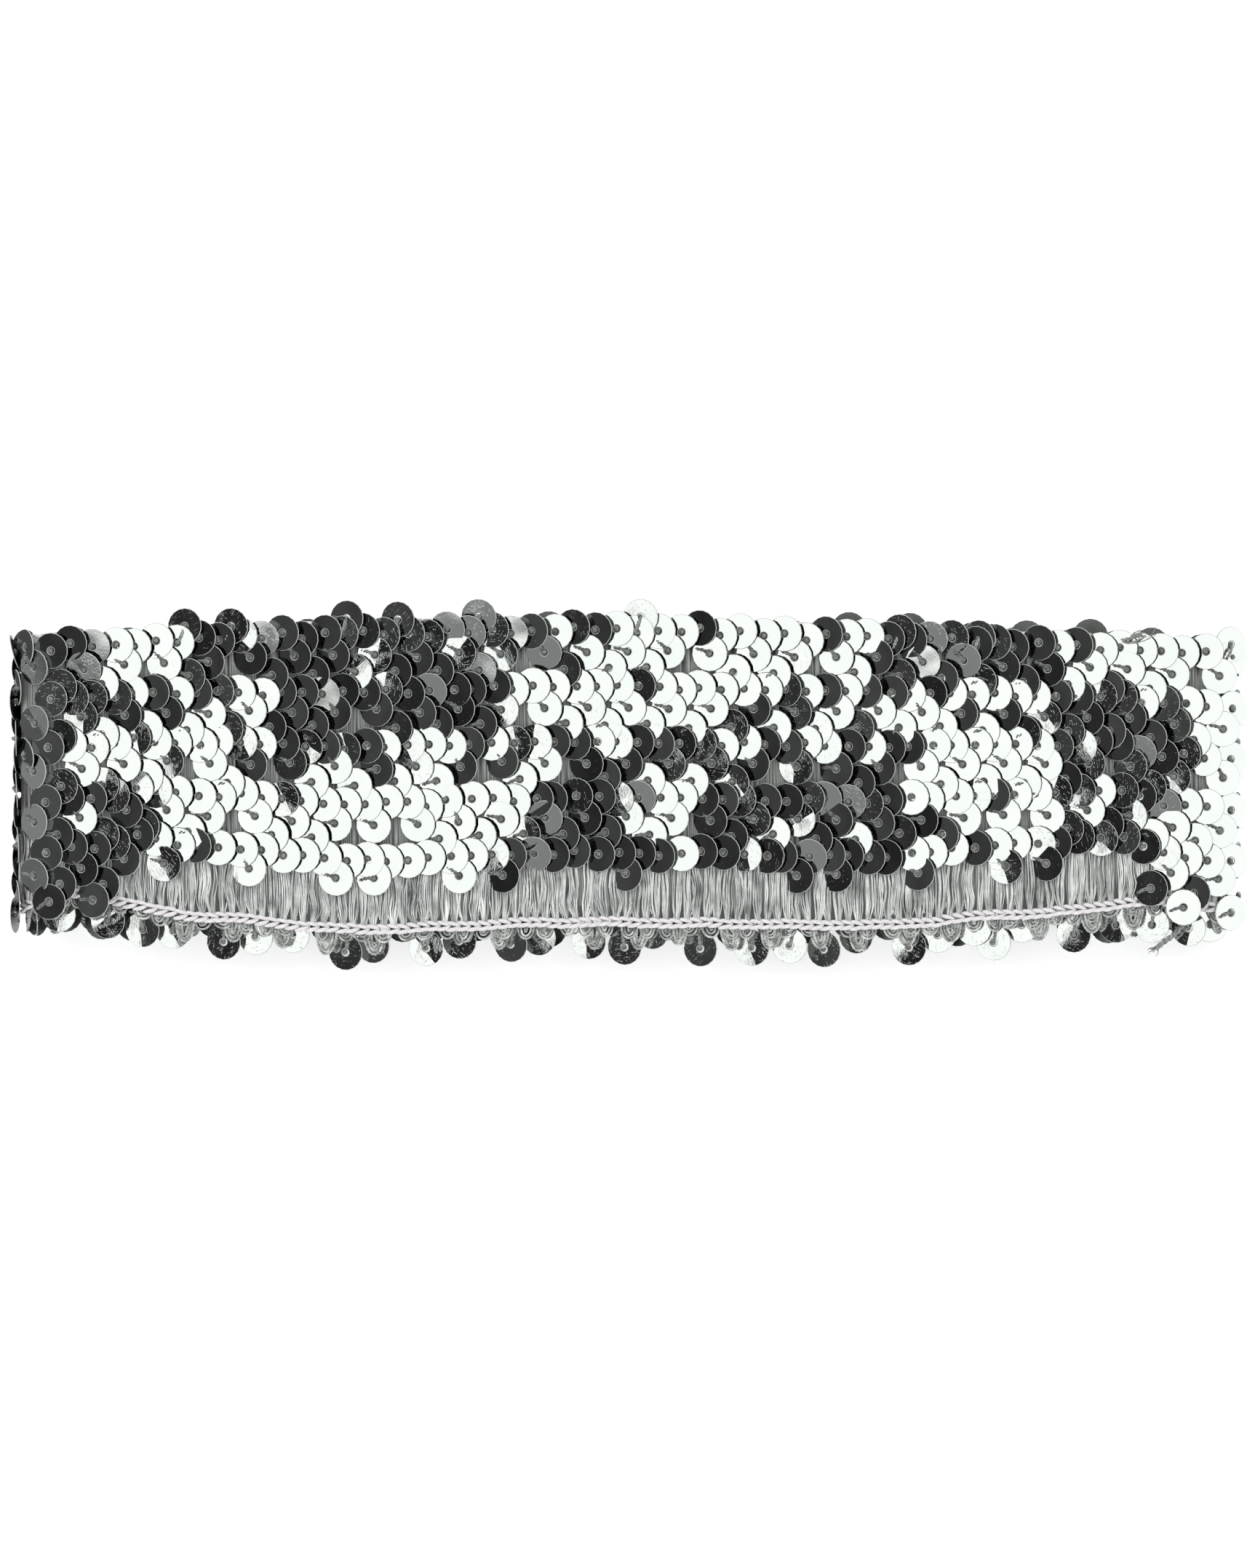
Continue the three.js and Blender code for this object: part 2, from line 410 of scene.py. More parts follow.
class Value:
    """A node's output that takes part in sums, each of which adds a Math node."""

    def __init__(self, tree, socket):
        self.tree = tree
        self.socket = socket

    def math(self, operation, *operands, clamp=False):
        node = self.tree.nodes.new("ShaderNodeMath")
        node.operation = operation
        node.use_clamp = clamp
        for socket, operand in zip(node.inputs, operands):
            if isinstance(operand, Value):
                self.tree.links.new(operand.socket, socket)
            else:
                socket.default_value = operand
        return Value(self.tree, node.outputs[0])

    def __add__(self, other):
        return self.math("ADD", self, other)

    __radd__ = __add__

    def __sub__(self, other):
        return self.math("SUBTRACT", self, other)

    def __rsub__(self, other):
        return self.math("SUBTRACT", other, self)

    def __mul__(self, other):
        return self.math("MULTIPLY", self, other)

    __rmul__ = __mul__

    def __truediv__(self, other):
        return self.math("DIVIDE", self, other)

    def size(self):
        return self.math("ABSOLUTE", self)

    def rise(self, start, end):
        """0 up to start and 1 from end on."""
        return self.math("MULTIPLY", self - start, 1 / (end - start), clamp=True)

    def between(self, start, end, soft):
        return self.rise(start - soft, start + soft) * (1 - self.rise(end - soft, end + soft))


class Shader:
    """The node tree of a material or a world."""

    def __init__(self, owner):
        owner.use_nodes = True
        self.tree = owner.node_tree
        self.tree.nodes.clear()

    def node(self, kind, settings=None, inputs=None, output=0):
        node = self.tree.nodes.new(kind)
        for name, setting in (settings or {}).items():
            if name == "stops":
                while len(node.color_ramp.elements) < len(setting):
                    node.color_ramp.elements.new(0.5)
                for stop, (place, colour) in zip(node.color_ramp.elements, setting):
                    stop.position = place
                    stop.color = (*colour, 1)
            else:
                setattr(node, name, setting)
        for name, given in (inputs or {}).items():
            socket = node.inputs[name]
            if isinstance(given, Value):
                self.tree.links.new(given.socket, socket)
            else:
                socket.default_value = given
        return Value(self.tree, node.outputs[output]) if node.outputs else None

    def uv(self, scale):
        """The piece's own map, in millimetres, with its two directions scaled."""
        uv = self.node("ShaderNodeUVMap", {"uv_map": "UVMap"})
        return self.node("ShaderNodeMapping", None, {"Vector": uv, "Scale": (*scale, 1)})

    def noise(self, vector, scale=1.0, detail=3.0, rough=0.5):
        inputs = {"Vector": vector, "Scale": scale, "Detail": detail, "Roughness": rough}
        return self.node("ShaderNodeTexNoise", None, inputs)

    def ramp(self, value, *stops):
        """A colour that changes with a value, given as pairs of a place and a colour."""
        return self.node("ShaderNodeValToRGB", {"stops": stops}, {"Fac": value})

    def mixed(self, share, first, second):
        """A colour between two, of which the second is a plain one."""
        inputs = {"Factor": share, 6: first, 7: (*second, 1)}
        return self.node("ShaderNodeMix", {"data_type": "RGBA"}, inputs, 2)

    def attribute(self, name):
        return self.node("ShaderNodeAttribute", {"attribute_name": name}, None, "Fac")

    def bump(self, height, strength, depth, normal=None):
        inputs = {"Height": height, "Strength": strength, "Distance": depth * MM}
        if normal:
            inputs["Normal"] = normal
        return self.node("ShaderNodeBump", None, inputs)

    def surface(self, inputs):
        shader = self.node("ShaderNodeBsdfPrincipled", None, inputs)
        self.node("ShaderNodeOutputMaterial", None, {"Surface": shader})

    def thread_surface(self, colour, normal, rough, sheen):
        self.surface({
            "Base Color": colour,
            "Roughness": rough,
            "Sheen Weight": sheen,
            "Sheen Roughness": rough - 0.1,
            "Normal": normal,
        })


def sequin_film():
    """Mirror film, slightly warped, crazed beside its creases, with a dull cut edge that is also kept dark
    grey as painted shade of the gap under its rim, and a back painted dark as the shade under the disc.
    """
    material = bpy.data.materials.new("sequin_film")
    shader = Shader(material)
    wear, bend, cut_edge, back, crease = (
        shader.attribute(name) for name in ("wear", "bend", "cut_edge", "back", "crease")
    )
    beside_crease = bend * (1 - crease.size().rise(0.1, 1.5))
    warp = shader.noise(shader.uv((1, 1)), 0.17, 1.0)
    grit = shader.noise(shader.uv((1, 1)), 2.6, 3.0, 0.7)
    patch = shader.noise(shader.uv((1, 1)), 0.4, 2.0).rise(0.46, 0.58)
    scratch = shader.noise(shader.uv((0.9, 7)), 0.9, 2.0, 0.5).rise(0.65, 0.69)
    nick = shader.noise(shader.uv((2.0, 1.1)), 1.9, 1.0, 0.4).rise(0.7, 0.74)
    warped = shader.bump(warp, 0.14 + 0.12 * wear, 0.62)
    crazed = shader.bump(grit, 0.02 + 0.22 * wear * patch + 0.5 * beside_crease * patch, 0.1, warped)
    marked = shader.bump(scratch + nick, 0.03 + 0.34 * wear, -0.03, crazed)
    face_colour = shader.ramp(warp, (0.35, (0.905, 0.94, 0.918)), (0.7, (0.945, 0.97, 0.955)))
    # Painted shade: the cut edge is dull grey partly as the film's own edge and partly to stand in for the
    # shade in the gap under each rim.
    edged = shader.mixed(cut_edge, face_colour, (0.44, 0.455, 0.44))
    # Painted shade: the back is dark grey to stand in for the shade under each disc, which the neighbouring
    # mirrors show as dark crescents.
    colour = shader.mixed(back, edged, (0.13, 0.136, 0.13))
    rough = 0.03 + 0.06 * wear * patch + 0.05 * (scratch + nick) * wear + 0.5 * cut_edge + 0.2 * back
    shader.surface({"Base Color": colour, "Metallic": 1 - cut_edge, "Roughness": rough, "Normal": marked})
    return material


def floss(name, dark, pale, slit_shade=0.0, contrast=(0.36, 0.64), fineness=5.5):
    """Silky fibres that run across the band, in strands of uneven grey: partly the floss's own tone, partly
    painted sheen on the raised strands and painted shade between them.
    """
    material = bpy.data.materials.new(name)
    shader = Shader(material)
    strands = shader.noise(shader.uv((fineness, 0.3)), 1.0, 4.0, 0.65)
    locks = shader.noise(shader.uv((0.9, 0.12)), 1.0, 2.0)
    shade = strands * 0.65 + locks * 0.35
    # Painted shade: the floss is darkened in the slits between its locks and between its strands.
    if slit_shade:
        shade = shade - slit_shade * (1 - shader.attribute("crown"))
    # The dark stop is painted shade and the pale stop painted sheen, on the same strands that raise the bump.
    colour = shader.ramp(shade, (contrast[0], dark), (contrast[1], pale))
    shader.thread_surface(colour, shader.bump(strands, 0.6, 0.12), 0.5, 0.25)
    return material


def twine(name, dark, pale, turns):
    """Spun thread, with fine plies wound round it, paler on the raised plies and darker between them: partly
    the thread's own tone, partly painted sheen and painted shade.
    """
    material = bpy.data.materials.new(name)
    shader = Shader(material)
    plies = shader.noise(shader.uv((turns, turns * 0.4)), 1.0, 3.0, 0.6)
    # The dark stop is painted shade between the plies and the pale stop painted sheen on them.
    colour = shader.ramp(plies, (0.3, dark), (0.7, pale))
    shader.thread_surface(colour, shader.bump(plies, 0.5, 0.1), 0.6, 0.2)
    return material


# Building.


def pick(kind, is_wanted):
    """Selects the faces or points that are wanted, and no others, on the piece that is being edited."""
    mesh = bpy.context.object.data
    bpy.ops.mesh.select_mode(type=kind)
    bpy.ops.mesh.select_all(action="DESELECT")
    bpy.ops.object.mode_set(mode="OBJECT")
    for element in mesh.polygons if kind == "FACE" else mesh.vertices:
        element.select = is_wanted(element)
    bpy.ops.object.mode_set(mode="EDIT")


def bridge_open_rims():
    """Bridges the open rims of the piece that is being edited, pair by pair."""
    bpy.ops.mesh.select_mode(type="EDGE")
    bpy.ops.mesh.select_all(action="DESELECT")
    bpy.ops.mesh.select_non_manifold()
    bpy.ops.mesh.bridge_edge_loops()


def read(items, key, width=1, kind=float):
    """One property of a mesh's points, corners or faces, as an array."""
    values = np.empty(len(items) * width, dtype=kind)
    items.foreach_get(key, values)
    return values.reshape(-1, width) if width > 1 else values


def new_mesh(name, points, loops, counts, uv, point_marks=None, face_marks=None, smooth=True):
    """A mesh from arrays: points in millimetres, the corners of all faces, and each face's corner count."""
    mesh = bpy.data.meshes.new(name)
    mesh.vertices.add(len(points))
    mesh.vertices.foreach_set("co", (np.asarray(points) * MM).ravel())
    mesh.loops.add(len(loops))
    mesh.loops.foreach_set("vertex_index", loops)
    mesh.polygons.add(len(counts))
    mesh.polygons.foreach_set("loop_start", np.concatenate([[0], np.cumsum(counts)[:-1]]))
    mesh.polygons.foreach_set("use_smooth", np.full(len(counts), smooth))
    mesh.update(calc_edges=True)
    mesh.uv_layers.new(name="UVMap").data.foreach_set("uv", uv.ravel())
    for domain, marks in (("POINT", point_marks), ("FACE", face_marks)):
        for label, values in (marks or {}).items():
            mesh.attributes.new(label, "FLOAT", domain).data.foreach_set("value", values)
    mesh.validate()
    return mesh


def own_mesh(piece, name):
    """A modelled piece's mesh, taken from it and shaded smoothly."""
    mesh = piece.data.copy()
    mesh.name = name
    mesh.polygons.foreach_set("use_smooth", np.full(len(mesh.polygons), True))
    bpy.data.objects.remove(piece)
    return mesh


def finish_piece(name, mesh, material, replaced=()):
    piece = bpy.data.objects.new(name, mesh)
    bpy.context.scene.collection.objects.link(piece)
    mesh.materials.clear()
    mesh.materials.append(material)
    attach(piece, "root")
    if replaced:
        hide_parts(*replaced)
    return piece


class Template:
    """A small piece that is modelled once, read as arrays in millimetres."""

    def __init__(self, points, loops, counts, uv):
        self.points = points
        self.loops = loops
        self.counts = counts
        self.uv = uv
        self.point_marks = {}
        self.face_marks = {}

    @classmethod
    def from_object(cls, piece):
        mesh = piece.data
        points = read(mesh.vertices, "co", 3) / MM
        loops = read(mesh.loops, "vertex_index", kind=np.int64)
        counts = read(mesh.polygons, "loop_total", kind=np.int64)
        bpy.data.objects.remove(piece)
        return cls(points, loops, counts, points[loops][:, :2].copy())

    def joined(self, others):
        shift = 0
        points, loops, counts, uv = [], [], [], []
        for part in [self, *others]:
            points.append(part.points)
            loops.append(part.loops + shift)
            counts.append(part.counts)
            uv.append(part.uv)
            shift += len(part.points)
        return Template(np.vstack(points), np.concatenate(loops), np.concatenate(counts), np.vstack(uv))


UNUSED_WAY = (0.13, 0.21, 0.97)  # a direction that no strand runs in


def directions(route):
    """At each point of a route, the ways ahead, to the side and up."""
    ahead = np.gradient(route, axis=0)
    ahead /= np.linalg.norm(ahead, axis=1)[:, None]
    side = np.cross(ahead, UNUSED_WAY)
    side /= np.linalg.norm(side, axis=1)[:, None]
    return ahead, side, np.cross(side, ahead)


def run_along(route):
    """How far along a route each of its points lies."""
    return np.concatenate([[0], np.cumsum(np.linalg.norm(np.diff(route, axis=0), axis=1))])


def tube(route, radius, sides=6, turn=0.0):
    """A closed round strand along a route, with pointed ends. Its map runs round it and along it."""
    ahead, side, up = directions(route)
    radii = np.full(len(route), radius) if np.isscalar(radius) else np.asarray(radius)
    angles = turn + np.arange(sides) * 2 * math.pi / sides
    ring = np.cos(angles)[None, :, None] * side[:, None] + np.sin(angles)[None, :, None] * up[:, None]
    rings = route[:, None] + ring * radii[:, None, None]
    point_length = 0.6
    start = route[0] - ahead[0] * radii[0] * point_length
    end = route[-1] + ahead[-1] * radii[-1] * point_length
    points = np.vstack([rings.reshape(-1, 3), start, end])
    loops, counts, uv = [], [], []
    run = run_along(route)
    round_length = 2 * math.pi * radii.mean()
    for step in range(len(route) - 1):
        for k in range(sides):
            far = (k + 1) % sides
            loops += [step * sides + k, (step + 1) * sides + k, (step + 1) * sides + far, step * sides + far]
            counts.append(4)
            here, there = k / sides * round_length, (k + 1) / sides * round_length
            uv += [(here, run[step]), (here, run[step + 1]), (there, run[step + 1]), (there, run[step])]
    tip, tail = len(points) - 2, len(points) - 1
    last = (len(route) - 1) * sides
    for k in range(sides):
        far = (k + 1) % sides
        loops += [tip, k, far]
        loops += [tail, last + far, last + k]
        counts += [3, 3]
        uv += [(0, 0), (0, 0.1), (0.1, 0.1)] * 2
    return Template(points, np.array(loops), np.array(counts), np.array(uv))


def plied(route, radius, ply_turn=1.0, sides=5, phase=0.0):
    """Two plies twisted round each other along a route."""
    step_length = 0.22
    run = run_along(route)
    stations = np.linspace(0, run[-1], max(4, int(run[-1] / step_length)) + 1)
    fine = np.column_stack([np.interp(stations, run, route[:, k]) for k in range(3)])
    _, side, up = directions(fine)
    angle = phase + stations * 2 * math.pi / ply_turn
    plies = []
    for half in (0, math.pi):
        swing = np.cos(angle + half)[:, None] * side + np.sin(angle + half)[:, None] * up
        plies.append(tube(fine + swing * radius * 0.5, radius * 0.56, sides))
    return plies[0].joined(plies[1:])


def spread(name, template, centres, frames, rng, marks=None, smooth=True, turn_map=True):
    """One joined mesh with a copy of a template at each centre, laid along the columns of each frame."""
    count, size = len(centres), len(template.points)
    points = np.einsum("nij,kj->nki", frames, template.points) + centres[:, None]
    loops = template.loops[None, :] + np.arange(count)[:, None] * size
    counts = np.tile(template.counts, count)
    angle = rng.uniform(0, 2 * math.pi, count) if turn_map else np.zeros(count)
    offset = rng.uniform(0, 400, (count, 2))
    cos, sin = np.cos(angle)[:, None], np.sin(angle)[:, None]
    u = cos * template.uv[None, :, 0] - sin * template.uv[None, :, 1] + offset[:, :1]
    v = sin * template.uv[None, :, 0] + cos * template.uv[None, :, 1] + offset[:, 1:]
    uv = np.stack([u, v], axis=2).reshape(-1, 2)
    point_marks = {label: np.repeat(values, size) for label, values in (marks or {}).items()}
    point_marks.update({label: np.tile(values, count) for label, values in template.point_marks.items()})
    face_marks = {label: np.tile(values, count) for label, values in template.face_marks.items()}
    points = points.reshape(-1, 3)
    return new_mesh(name, points, loops.ravel(), counts, uv, point_marks, face_marks, smooth)


def joined_mesh(name, parts, pattern_places=None):
    """One mesh from templates that already lie in place, each with its own part of the pattern."""
    if pattern_places is None:
        pattern_places = np.random.default_rng(len(parts)).uniform(0, 400, (len(parts), 2))
    for part, place in zip(parts, pattern_places):
        part.uv = part.uv + place
    whole = parts[0].joined(parts[1:])
    return new_mesh(name, whole.points, whole.loops, whole.counts, whole.uv)


def leaned(frames, along_lean, side_lean):
    """Frames turned by a sequin's two leans, in degrees."""
    a, b = np.radians(along_lean), np.radians(side_lean)
    out = np.column_stack([-np.tan(a), -np.tan(b), np.ones_like(a)])
    out /= np.linalg.norm(out, axis=1)[:, None]
    first = np.column_stack([np.ones_like(a), np.zeros_like(a), np.tan(a)])
    first /= np.linalg.norm(first, axis=1)[:, None]
    second = np.cross(out, first)
    return np.einsum("nij,njk->nik", frames, np.stack([first, second, out], axis=2))


# The knit and its floss.

KNIT_STATIONS = STITCH_COUNT * 12
KNIT_LEVELS = 14
STRAND_PITCH = 0.37
PINCH_WIDTH = 0.5  # how far in from the edge the floss is drawn together fully
PINCH_FADE = 1.1
FIBRES_PER_LOCK = 12
FIBRE_REACH = (8.8, 10.4)
FOOT_SPREAD = 0.62  # of a lock's fibres where they start, in stitches
HEAD_SPREAD = 1.08  # and where they end


def gathered(distance, across):
    """How the floss stands out of the knit: in one lock for each stitch, and in finer strands."""
    wander = 0.35 * np.sin(distance * 0.9 + across * 0.5) + 0.25 * np.sin(distance * 2.3 - across * 0.8)
    lock = np.abs(np.sin(math.pi * distance / STITCH_PITCH)) ** 0.6
    strands = 2 * math.pi * (distance + wander) / STRAND_PITCH + 2.1 * np.sin(distance * 1.7)
    return lock, 0.5 + 0.5 * np.sin(strands)


def knit_floss():
    """The knit as one closed tube of cloth: a ring extruded up its outer face and down its inner one."""
    bpy.ops.object.select_all(action="DESELECT")
    bpy.ops.mesh.primitive_circle_add(vertices=KNIT_STATIONS, radius=0.1)
    ring = bpy.context.object
    bpy.ops.object.mode_set(mode="EDIT")
    bpy.ops.mesh.select_all(action="SELECT")
    for _ in range(2 * KNIT_LEVELS - 1):
        bpy.ops.mesh.extrude_region_move(TRANSFORM_OT_translate={"value": (0, 0, MM)})
    bpy.ops.object.mode_set(mode="OBJECT")
    points = read(ring.data.vertices, "co", 3)
    turn = np.arctan2(points[:, 1], points[:, 0]) / (2 * math.pi)
    shares = np.round(turn * KNIT_STATIONS).astype(int) % KNIT_STATIONS / KNIT_STATIONS
    level = np.round(points[:, 2] / MM).astype(int)
    is_outer = level < KNIT_LEVELS
    part = np.where(is_outer, level, 2 * KNIT_LEVELS - 1 - level) / (KNIT_LEVELS - 1)
    under_chain = CHAIN_WIDTH * 0.8
    low, high = lower_edge(shares) + under_chain, upper_edge(shares) - under_chain
    across = low + (high - low) * part**1.6
    distance = shares * loop.length
    lock, fine = gathered(distance, across)
    edge = np.minimum(across - low, high - across)
    pinch = np.exp(-np.maximum(edge - PINCH_WIDTH, 0) / PINCH_FADE)
    stand = FLOSS_FLOOR * (0.25 + 0.75 * (lock * (0.35 + 0.65 * pinch) + 0.35 * fine * (1 - 0.5 * pinch)))
    round_off = 1 - 0.45 * np.exp(-edge / 0.3)
    height = (KNIT_WALL / 2) * round_off + stand * np.where(is_outer, 1.0, 0.4)
    placed = loop.places(shares, across, np.where(is_outer, height, -height))
    ring.data.vertices.foreach_set("co", (placed * MM).ravel())
    bpy.ops.object.mode_set(mode="EDIT")
    bridge_open_rims()
    bpy.ops.mesh.select_all(action="SELECT")
    bpy.ops.mesh.normals_make_consistent(inside=False)
    bpy.ops.object.mode_set(mode="OBJECT")
    mesh = own_mesh(ring, "knit_floss")
    corners = read(mesh.loops, "vertex_index", kind=np.int64)
    run = distance[corners].reshape(-1, 4)
    run = np.where(run < run.max(axis=1)[:, None] - loop.length / 2, run + loop.length, run)
    uv = np.column_stack([run.ravel(), across[corners]])
    mesh.uv_layers.new(name="UVMap").data.foreach_set("uv", uv.ravel())
    # Painted shade: this mark is low in the slits between the locks near both chains and between the strands
    # further in, where the floss is darkened; the inner face gets less of it.
    crown = np.clip((0.1 + 0.9 * lock) * pinch + (1 - pinch) * (0.75 + 0.25 * fine), 0, 1)
    crown = np.where(is_outer, crown, 0.55 + 0.45 * crown)
    mesh.attributes.new("crown", "FLOAT", "POINT").data.foreach_set("value", crown)
    # Dark and pale: painted shade and painted sheen of the strands.
    material = floss("knit_floss", (0.06, 0.062, 0.06), (0.78, 0.8, 0.78), slit_shade=0.6)
    piece = finish_piece("knit_floss", mesh, material, ["knit_band"])


def margin_fibres():
    """The long fibres of the bare margin, drawn together at each stitch of the lower chain."""
    rng = np.random.default_rng(12)
    count = STITCH_COUNT * FIBRES_PER_LOCK
    stitch = np.repeat(np.arange(STITCH_COUNT), FIBRES_PER_LOCK)
    lock_shift = np.repeat(rng.normal(0, 0.15, STITCH_COUNT), FIBRES_PER_LOCK)
    lock_swing = np.repeat(rng.normal(0, 0.13, (2, STITCH_COUNT)), FIBRES_PER_LOCK, axis=1)
    spot = rng.uniform(-0.5, 0.5, count)
    foot = (stitch + 0.5 + spot * FOOT_SPREAD) * STITCH_PITCH
    head = (stitch + 0.5 + spot * HEAD_SPREAD + lock_shift + rng.normal(0, 0.07, count)) * STITCH_PITCH
    reach = rng.uniform(*FIBRE_REACH, count)
    bulge = FLOSS_FLOOR * (0.5 + 1.1 * np.sqrt(1 - (2 * spot) ** 2))
    stand = KNIT_WALL / 2 + bulge + rng.uniform(0, 0.14, count)
    swing = lock_swing + rng.normal(0, 0.06, (2, count))
    steps = np.linspace(0, 1, 10) ** 1.2
    fibres = []
    for k in range(count):
        sway = swing[0, k] * np.sin(steps * 1.5 * math.pi) + swing[1, k] * 0.8 * np.sin(steps * 3 * math.pi)
        opened = np.clip((steps * reach[k] - 0.5) / 1.7, 0, 1) ** 0.8
        shares = (foot[k] + (head[k] - foot[k] + sway) * opened) / loop.length
        up = lower_edge(shares) + CHAIN_WIDTH * 0.75 + steps * reach[k]
        out = stand[k] * (0.6 + 0.4 * np.sin(np.clip(steps * 2.6 + 0.1, 0, 1) * math.pi / 2))
        fibres.append(tube(loop.places(shares, up, out), FIBRE_RADIUS, 3, rng.uniform(0, 6)))
    mesh = joined_mesh("margin_fibres", fibres, np.column_stack([foot, np.zeros(count)]))
    # The near-white pale stop is painted sheen on the long fibres.
    material = floss("margin_fibres", (0.1, 0.105, 0.1), (0.98, 1.0, 0.98), 0.0, (0.36, 0.6), 3.2)
    finish_piece("margin_fibres", mesh, material)


# The chain stitches along both edges.

LEG_LENGTH = 1.4  # in stitches, so that each runs under the next one
LEG_SPREAD = 0.5
LEG_RADIUS = 0.31


def chain_stitch(name, edge, inward, material, replaced):
    """A chain of stitches, each of two legs that meet under the next one, on both faces of the edge."""
    rng = np.random.default_rng(21 if inward > 0 else 22)
    pitch = loop.length / STITCH_COUNT
    t = np.linspace(0, 1, 7)
    legs = []
    for side in (1, -1):
        along = (t - 0.5) * pitch * LEG_LENGTH
        across = side * (LEG_SPREAD * np.cos(t * math.pi * 0.5) ** 0.8 + 0.05)
        lift = 0.36 * np.sin(t * math.pi) - 0.12
        radius = LEG_RADIUS * (0.6 + 0.4 * np.sin(t * math.pi))
        legs.append(tube(np.column_stack([along, across, lift]), radius, 7))
    stitch = legs[0].joined(legs[1:])
    pieces = []
    shares = (np.arange(STITCH_COUNT) + 0.5) / STITCH_COUNT
    for face in (1, -1):
        middle = edge(shares) + inward * (CHAIN_WIDTH / 2 + rng.normal(0, 0.05, len(shares)))
        middle = middle + 0.12 * np.sin(np.arange(STITCH_COUNT) * 0.7)
        out = face * np.full(len(shares), KNIT_WALL / 2 - 0.12)
        frames = loop.frames(shares)
        frames[:, :, 2] *= face
        frames[:, :, 1] *= face
        wobble = rng.normal(0, 4, len(shares))
        pieces.append((loop.places(shares, middle, out), leaned(frames, wobble * 0.4, wobble)))
    centres = np.vstack([place for place, _ in pieces])
    frames = np.concatenate([turned for _, turned in pieces])
    mesh = spread(name, stitch, centres, frames, rng, turn_map=False)
    finish_piece(name, mesh, material, replaced)


# The sequins.


def sequin(crease_angle=0.0):
    """A disc with a hole, whose upper rim is pressed slightly down, flat or folded along a line."""
    bpy.ops.object.select_all(action="DESELECT")
    radius = DISC_DIAMETER / 2 * MM
    bpy.ops.mesh.primitive_cylinder_add(vertices=SEQUIN_SIDES, radius=radius, depth=SEQUIN_THICKNESS * MM)
    disc = bpy.context.object
    bpy.ops.object.mode_set(mode="EDIT")
    pick("FACE", lambda face: abs(face.normal.z) > 0.9)
    bpy.ops.mesh.inset(thickness=(DISC_DIAMETER - SEQUIN_HOLE) / 2 * MM, use_individual=True)
    bpy.ops.mesh.delete(type="ONLY_FACE")
    bridge_open_rims()
    pick("VERT", lambda point: point.co.z > 0 and point.co.xy.length > radius - SEQUIN_RIM * MM)
    shrunk = 1 - 2 * SEQUIN_RIM / DISC_DIAMETER
    bpy.ops.transform.resize(value=(shrunk, shrunk, 1))
    pick("VERT", lambda point: point.co.z > 0 and point.co.xy.length < SEQUIN_HOLE * MM)
    widened = 1 + 4 * SEQUIN_RIM / SEQUIN_HOLE
    bpy.ops.transform.resize(value=(widened, widened, 1))
    bpy.ops.mesh.select_all(action="SELECT")
    if crease_angle:
        bpy.ops.mesh.bisect(plane_co=(CREASE_PLACE * MM, 0, 0), plane_no=(1, 0, 0))
        bpy.ops.mesh.select_all(action="SELECT")
    bpy.ops.mesh.normals_make_consistent(inside=False)
    bpy.ops.object.mode_set(mode="OBJECT")
    upward = np.array([face.normal.z for face in disc.data.polygons])
    template = Template.from_object(disc)
    beside = template.points[:, 0] - CREASE_PLACE
    template.points[:, 2] += np.abs(beside) * math.tan(math.radians(crease_angle / 2))
    # The side walls and the back, which the film colours dark grey, partly as painted shade.
    template.face_marks["cut_edge"] = (np.abs(upward) < 0.9).astype(float)
    template.face_marks["back"] = (upward < -0.9).astype(float)
    template.point_marks["crease"] = beside
    return template


def drawn_kinds(runs, distances, rng):
    """How each sequin of a row shows, drawn from the runs of the row, and how worn it is."""
    runs = np.array(runs)
    white, grey, worn = runs[np.searchsorted(runs[:, 0], distances), 1:].T
    draw = rng.uniform(0, 1, len(distances))
    kinds = np.where(draw < white, "white", np.where(draw < white + grey * (1 - white), "grey", "dark"))
    is_worn = rng.uniform(0, 1, len(draw)) < worn
    kinds = np.where(is_worn & (rng.uniform(0, 1, len(draw)) < 0.45), "creased", kinds)
    wear = np.where(is_worn, rng.uniform(0.35, 1, len(draw)), rng.uniform(0, 0.15, len(draw)))
    wear = np.where(kinds == "white", wear * 0.3, wear)
    return kinds, wear


class Sequins:
    """A set of sequins: where they are, how they lean, how worn they are, and which have a yarn tail."""

    def __init__(self, shares, across, kinds, wear, rng, is_tailed):
        count = len(shares)
        table = is_on_table(shares)
        towards_view = VIEW_LEAN * loop.flat_point(shares)[:, 0] / (LYING_LENGTH / 2)
        ahead = loop.frames(shares)[:, :, 0]
        slope = np.clip(np.degrees(np.arctan2(ahead[:, 2], ahead[:, 0])), -SLOPE_LIMIT, SLOPE_LIMIT)
        along = np.select(
            [kinds == "dark", kinds == "creased"],
            [DARK_LEAN + rng.uniform(-0.4, 3.8, count), CREASED_LEAN + rng.normal(0, LEAN_JITTER, count)],
            WHITE_LEAN + rng.normal(0, LEAN_JITTER, count),
        )
        side = np.where(kinds == "grey", GREY_SIDE_LEAN, SIDE_LEAN)
        side = side + rng.normal(0, SIDE_LEAN_JITTER, count)
        table_lean = np.clip(TABLE_LEAN + (along - DARK_LEAN) * 0.25, 5, 10)
        self.shares = shares
        self.across = across
        self.along_lean = np.where(table, table_lean, along + towards_view - slope)
        self.side_lean = np.where(table, np.clip(side, -4, 4) * 0.6, side)
        self.wear = wear
        self.bend = np.where(kinds == "creased", rng.uniform(0.3, 1, count), 0.0)
        self.is_tailed = is_tailed
        self.tail_turn = np.zeros(count)
        floor = KNIT_WALL / 2 + np.where(table, TABLE_SEQUIN_FLOOR, SEQUIN_FLOOR)
        self.out = floor + rng.uniform(-0.03, 0.03, count)

    def placed(self):
        centres = loop.places(self.shares, self.across, self.out)
        return centres, leaned(loop.frames(self.shares), self.along_lean, self.side_lean)


